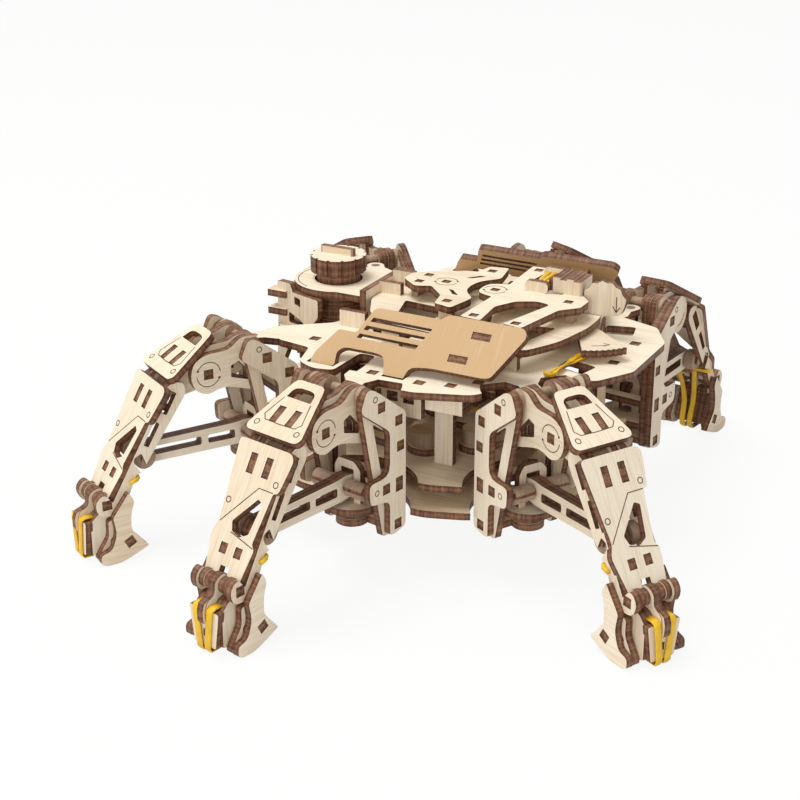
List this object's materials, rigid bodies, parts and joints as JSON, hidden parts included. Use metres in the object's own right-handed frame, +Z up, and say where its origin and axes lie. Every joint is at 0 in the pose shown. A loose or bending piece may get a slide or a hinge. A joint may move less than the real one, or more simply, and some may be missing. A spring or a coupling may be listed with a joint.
{
  "type": "six-legged walking robot",
  "caption": "Wind-up walking robot of laser-cut plywood, with a decked body on six jointed legs, push rods, rubber-banded feet and a winding knob.",
  "frame": {"origin": "on the ground, under the middle of the bounding box", "axes": "+Z up, -X towards the cabin with the winding knob, +Y towards the robot's right side"},
  "size_m": [0.2692, 0.3212, 0.105],
  "materials": {
    "birch": "laser-cut birch plywood, bare",
    "dark_birch": "birch ply charred on its edges",
    "band_rubber": "soft yellow rubber"
  },
  "bodies": {
    "chassis": {"base_plate": "birch", "cam_plate": "birch", "deck_columns": "birch", "hip_pins": "dark_birch", "cam_discs": "birch", "motor_bands": "band_rubber", "middle_deck": "birch", "upper_deck": "birch", "deck_struts": "birch", "side_panel_left": "birch", "side_panel_right": "birch", "roof_front": "birch", "roof_rear": "birch", "nose_frame": "birch", "nose_ring": "birch", "band_block": "birch", "block_band": "band_rubber", "rear_bands": "band_rubber"},
    "hip_left_front": {"hip_frame_left_front": "birch"},
    "thigh_left_front": {"thigh_left_front": "birch"},
    "rod_left_front": {"push_rod_left_front": "birch"},
    "shin_left_front": {"shin_left_front": "birch"},
    "foot_left_front": {"foot_left_front": "birch", "foot_bands_left_front": "band_rubber"},
    "hip_left_middle": {"hip_frame_left_middle": "birch"},
    "thigh_left_middle": {"thigh_left_middle": "birch"},
    "rod_left_middle": {"push_rod_left_middle": "birch"},
    "shin_left_middle": {"shin_left_middle": "birch"},
    "foot_left_middle": {"foot_left_middle": "birch", "foot_bands_left_middle": "band_rubber"},
    "hip_left_rear": {"hip_frame_left_rear": "birch"},
    "thigh_left_rear": {"thigh_left_rear": "birch"},
    "rod_left_rear": {"push_rod_left_rear": "birch"},
    "shin_left_rear": {"shin_left_rear": "birch"},
    "foot_left_rear": {"foot_left_rear": "birch", "foot_bands_left_rear": "band_rubber"},
    "hip_right_rear": {"hip_frame_right_rear": "birch"},
    "thigh_right_rear": {"thigh_right_rear": "birch"},
    "rod_right_rear": {"push_rod_right_rear": "birch"},
    "shin_right_rear": {"shin_right_rear": "birch"},
    "foot_right_rear": {"foot_right_rear": "birch", "foot_bands_right_rear": "band_rubber"},
    "hip_right_middle": {"hip_frame_right_middle": "birch"},
    "thigh_right_middle": {"thigh_right_middle": "birch"},
    "rod_right_middle": {"push_rod_right_middle": "birch"},
    "shin_right_middle": {"shin_right_middle": "birch"},
    "foot_right_middle": {"foot_right_middle": "birch", "foot_bands_right_middle": "band_rubber"},
    "hip_right_front": {"hip_frame_right_front": "birch"},
    "thigh_right_front": {"thigh_right_front": "birch"},
    "rod_right_front": {"push_rod_right_front": "birch"},
    "shin_right_front": {"shin_right_front": "birch"},
    "foot_right_front": {"foot_right_front": "birch", "foot_bands_right_front": "band_rubber"},
    "winder": {"winding_knob": "birch", "motor_drum": "dark_birch"},
    "drive": {"drive_gear": "birch", "main_shaft": "dark_birch"},
    "stop_lever": {"stop_lever": "birch"},
    "walk_lever": {"walk_lever": "birch"}
  },
  "joints": [
    {"name": "hip_swing_left_front", "type": "hinge", "parent": "chassis", "child": "hip_left_front", "pos_m": [-0.06585, -0.04994, 0.05], "axis": [0, 0, 1], "range_deg": [-35, 2]},
    {"name": "leg_lift_left_front", "type": "hinge", "parent": "hip_left_front", "child": "thigh_left_front", "pos_m": [-0.0692, -0.05574, 0.0808], "axis": [-0.866, 0.5, 0], "range_deg": [-10, 20]},
    {"name": "knee_left_front", "type": "hinge", "parent": "thigh_left_front", "child": "shin_left_front", "pos_m": [-0.08575, -0.08441, 0.0672], "axis": [-0.866, 0.5, 0], "range_deg": [-28.77, 14.43]},
    {"name": "rod_pivot_left_front", "type": "hinge", "parent": "hip_left_front", "child": "rod_left_front", "pos_m": [-0.06885, -0.05514, 0.0402], "axis": [-0.866, 0.5, 0], "range_deg": [-5.94, 11.78]},
    {"name": "ankle_left_front", "type": "hinge", "parent": "shin_left_front", "child": "foot_left_front", "pos_m": [-0.10225, -0.11299, 0.025], "axis": [-0.866, 0.5, 0], "range_deg": [-10, 10], "stiffness_Nm_per_rad": 0.6},
    {"name": "hip_swing_left_middle", "type": "hinge", "parent": "chassis", "child": "hip_left_middle", "pos_m": [-0.00315, -0.07904, 0.05], "axis": [0, 0, 1], "range_deg": [-2, 35]},
    {"name": "leg_lift_left_middle", "type": "hinge", "parent": "hip_left_middle", "child": "thigh_left_middle", "pos_m": [-0.00454, -0.08559, 0.0808], "axis": [-0.9781, 0.2079, 0], "range_deg": [-10, 20]},
    {"name": "knee_left_middle", "type": "hinge", "parent": "thigh_left_middle", "child": "shin_left_middle", "pos_m": [-0.01142, -0.11797, 0.0672], "axis": [-0.9781, 0.2079, 0], "range_deg": [-28.77, 14.43]},
    {"name": "rod_pivot_left_middle", "type": "hinge", "parent": "hip_left_middle", "child": "rod_left_middle", "pos_m": [-0.0044, -0.08491, 0.0402], "axis": [-0.9781, 0.2079, 0], "range_deg": [-5.94, 11.78]},
    {"name": "ankle_left_middle", "type": "hinge", "parent": "shin_left_middle", "child": "foot_left_middle", "pos_m": [-0.01829, -0.15025, 0.025], "axis": [-0.9781, 0.2079, 0], "range_deg": [-10, 10], "stiffness_Nm_per_rad": 0.6},
    {"name": "hip_swing_left_rear", "type": "hinge", "parent": "chassis", "child": "hip_left_rear", "pos_m": [0.05955, -0.04994, 0.05], "axis": [0, 0, 1], "range_deg": [-35, 2]},
    {"name": "leg_lift_left_rear", "type": "hinge", "parent": "hip_left_rear", "child": "thigh_left_rear", "pos_m": [0.06541, -0.05319, 0.0808], "axis": [-0.4848, -0.8746, 0], "range_deg": [-10, 20]},
    {"name": "knee_left_rear", "type": "hinge", "parent": "thigh_left_rear", "child": "shin_left_rear", "pos_m": [0.09436, -0.06924, 0.0672], "axis": [-0.4848, -0.8746, 0], "range_deg": [-28.77, 14.43]},
    {"name": "rod_pivot_left_rear", "type": "hinge", "parent": "hip_left_rear", "child": "rod_left_rear", "pos_m": [0.0648, -0.05285, 0.0402], "axis": [-0.4848, -0.8746, 0], "range_deg": [-5.94, 11.78]},
    {"name": "ankle_left_rear", "type": "hinge", "parent": "shin_left_rear", "child": "foot_left_rear", "pos_m": [0.12322, -0.08523, 0.025], "axis": [-0.4848, -0.8746, 0], "range_deg": [-10, 10], "stiffness_Nm_per_rad": 0.6},
    {"name": "hip_swing_right_rear", "type": "hinge", "parent": "chassis", "child": "hip_right_rear", "pos_m": [0.05955, 0.05506, 0.05], "axis": [0, 0, 1], "range_deg": [-35, 2]},
    {"name": "leg_lift_right_rear", "type": "hinge", "parent": "hip_right_rear", "child": "thigh_right_rear", "pos_m": [0.06037, 0.06171, 0.0808], "axis": [0.9925, -0.1219, 0], "range_deg": [-10, 20]},
    {"name": "knee_right_rear", "type": "hinge", "parent": "thigh_right_rear", "child": "shin_right_rear", "pos_m": [0.0644, 0.09456, 0.0672], "axis": [0.9925, -0.1219, 0], "range_deg": [-28.77, 14.43]},
    {"name": "rod_pivot_right_rear", "type": "hinge", "parent": "hip_right_rear", "child": "rod_right_rear", "pos_m": [0.06028, 0.06101, 0.0402], "axis": [0.9925, -0.1219, 0], "range_deg": [-5.94, 11.78]},
    {"name": "ankle_right_rear", "type": "hinge", "parent": "shin_right_rear", "child": "foot_right_rear", "pos_m": [0.06842, 0.12732, 0.025], "axis": [0.9925, -0.1219, 0], "range_deg": [-10, 10], "stiffness_Nm_per_rad": 0.6},
    {"name": "hip_swing_right_middle", "type": "hinge", "parent": "chassis", "child": "hip_right_middle", "pos_m": [-0.00315, 0.08416, 0.05], "axis": [0, 0, 1], "range_deg": [-2, 35]},
    {"name": "leg_lift_right_middle", "type": "hinge", "parent": "hip_right_middle", "child": "thigh_right_middle", "pos_m": [-0.00021, 0.09018, 0.0808], "axis": [0.8988, -0.4384, 0], "range_deg": [-10, 20]},
    {"name": "knee_right_middle", "type": "hinge", "parent": "thigh_right_middle", "child": "shin_right_middle", "pos_m": [0.0143, 0.11993, 0.0672], "axis": [0.8988, -0.4384, 0], "range_deg": [-28.77, 14.43]},
    {"name": "rod_pivot_right_middle", "type": "hinge", "parent": "hip_right_middle", "child": "rod_right_middle", "pos_m": [-0.00052, 0.08955, 0.0402], "axis": [0.8988, -0.4384, 0], "range_deg": [-5.94, 11.78]},
    {"name": "ankle_right_middle", "type": "hinge", "parent": "shin_right_middle", "child": "foot_right_middle", "pos_m": [0.02876, 0.14959, 0.025], "axis": [0.8988, -0.4384, 0], "range_deg": [-10, 10], "stiffness_Nm_per_rad": 0.6},
    {"name": "hip_swing_right_front", "type": "hinge", "parent": "chassis", "child": "hip_right_front", "pos_m": [-0.06585, 0.05506, 0.05], "axis": [0, 0, 1], "range_deg": [-35, 2]},
    {"name": "leg_lift_right_front", "type": "hinge", "parent": "hip_right_front", "child": "thigh_right_front", "pos_m": [-0.07098, 0.05937, 0.0808], "axis": [0.6428, 0.766, 0], "range_deg": [-10, 20]},
    {"name": "knee_right_front", "type": "hinge", "parent": "thigh_right_front", "child": "shin_right_front", "pos_m": [-0.09634, 0.08064, 0.0672], "axis": [0.6428, 0.766, 0], "range_deg": [-28.77, 14.43]},
    {"name": "rod_pivot_right_front", "type": "hinge", "parent": "hip_right_front", "child": "rod_right_front", "pos_m": [-0.07045, 0.05892, 0.0402], "axis": [0.6428, 0.766, 0], "range_deg": [-5.94, 11.78]},
    {"name": "ankle_right_front", "type": "hinge", "parent": "shin_right_front", "child": "foot_right_front", "pos_m": [-0.12162, 0.10186, 0.025], "axis": [0.6428, 0.766, 0], "range_deg": [-10, 10], "stiffness_Nm_per_rad": 0.6},
    {"name": "winding_turn", "type": "hinge", "parent": "chassis", "child": "winder", "pos_m": [-0.05515, 0.00256, 0.09], "axis": [0, 0, 1], "continuous": true},
    {"name": "drive_turn", "type": "hinge", "parent": "chassis", "child": "drive", "pos_m": [-0.00315, 0.00256, 0.0585], "axis": [0, 0, 1], "continuous": true},
    {"name": "stop_tilt", "type": "hinge", "parent": "chassis", "child": "stop_lever", "pos_m": [0.05785, 0.01456, 0.084], "axis": [0, 1, 0], "range_deg": [0, 14]},
    {"name": "walk_swing", "type": "hinge", "parent": "chassis", "child": "walk_lever", "pos_m": [0.05785, 0.00756, 0.0845], "axis": [0, 0, 1], "range_deg": [-18, 14]}
  ],
  "couplings": [
    {"joint": "hip_swing_left_front", "follows": "hip_swing_left_middle", "ratio": -1},
    {"joint": "knee_left_front", "follows": "leg_lift_left_front", "ratio": -1.4333},
    {"joint": "rod_pivot_left_front", "follows": "leg_lift_left_front", "ratio": 0.5842},
    {"joint": "knee_left_middle", "follows": "leg_lift_left_middle", "ratio": -1.4333},
    {"joint": "rod_pivot_left_middle", "follows": "leg_lift_left_middle", "ratio": 0.5842},
    {"joint": "hip_swing_left_rear", "follows": "hip_swing_left_middle", "ratio": -1},
    {"joint": "knee_left_rear", "follows": "leg_lift_left_rear", "ratio": -1.4333},
    {"joint": "rod_pivot_left_rear", "follows": "leg_lift_left_rear", "ratio": 0.5842},
    {"joint": "hip_swing_right_rear", "follows": "hip_swing_left_middle", "ratio": -1},
    {"joint": "knee_right_rear", "follows": "leg_lift_right_rear", "ratio": -1.4333},
    {"joint": "rod_pivot_right_rear", "follows": "leg_lift_right_rear", "ratio": 0.5842},
    {"joint": "hip_swing_right_middle", "follows": "hip_swing_left_middle", "ratio": 1},
    {"joint": "knee_right_middle", "follows": "leg_lift_right_middle", "ratio": -1.4333},
    {"joint": "rod_pivot_right_middle", "follows": "leg_lift_right_middle", "ratio": 0.5842},
    {"joint": "hip_swing_right_front", "follows": "hip_swing_left_middle", "ratio": -1},
    {"joint": "knee_right_front", "follows": "leg_lift_right_front", "ratio": -1.4333},
    {"joint": "rod_pivot_right_front", "follows": "leg_lift_right_front", "ratio": 0.5842},
    {"joint": "drive_turn", "follows": "winding_turn", "ratio": -0.48571}
  ]
}
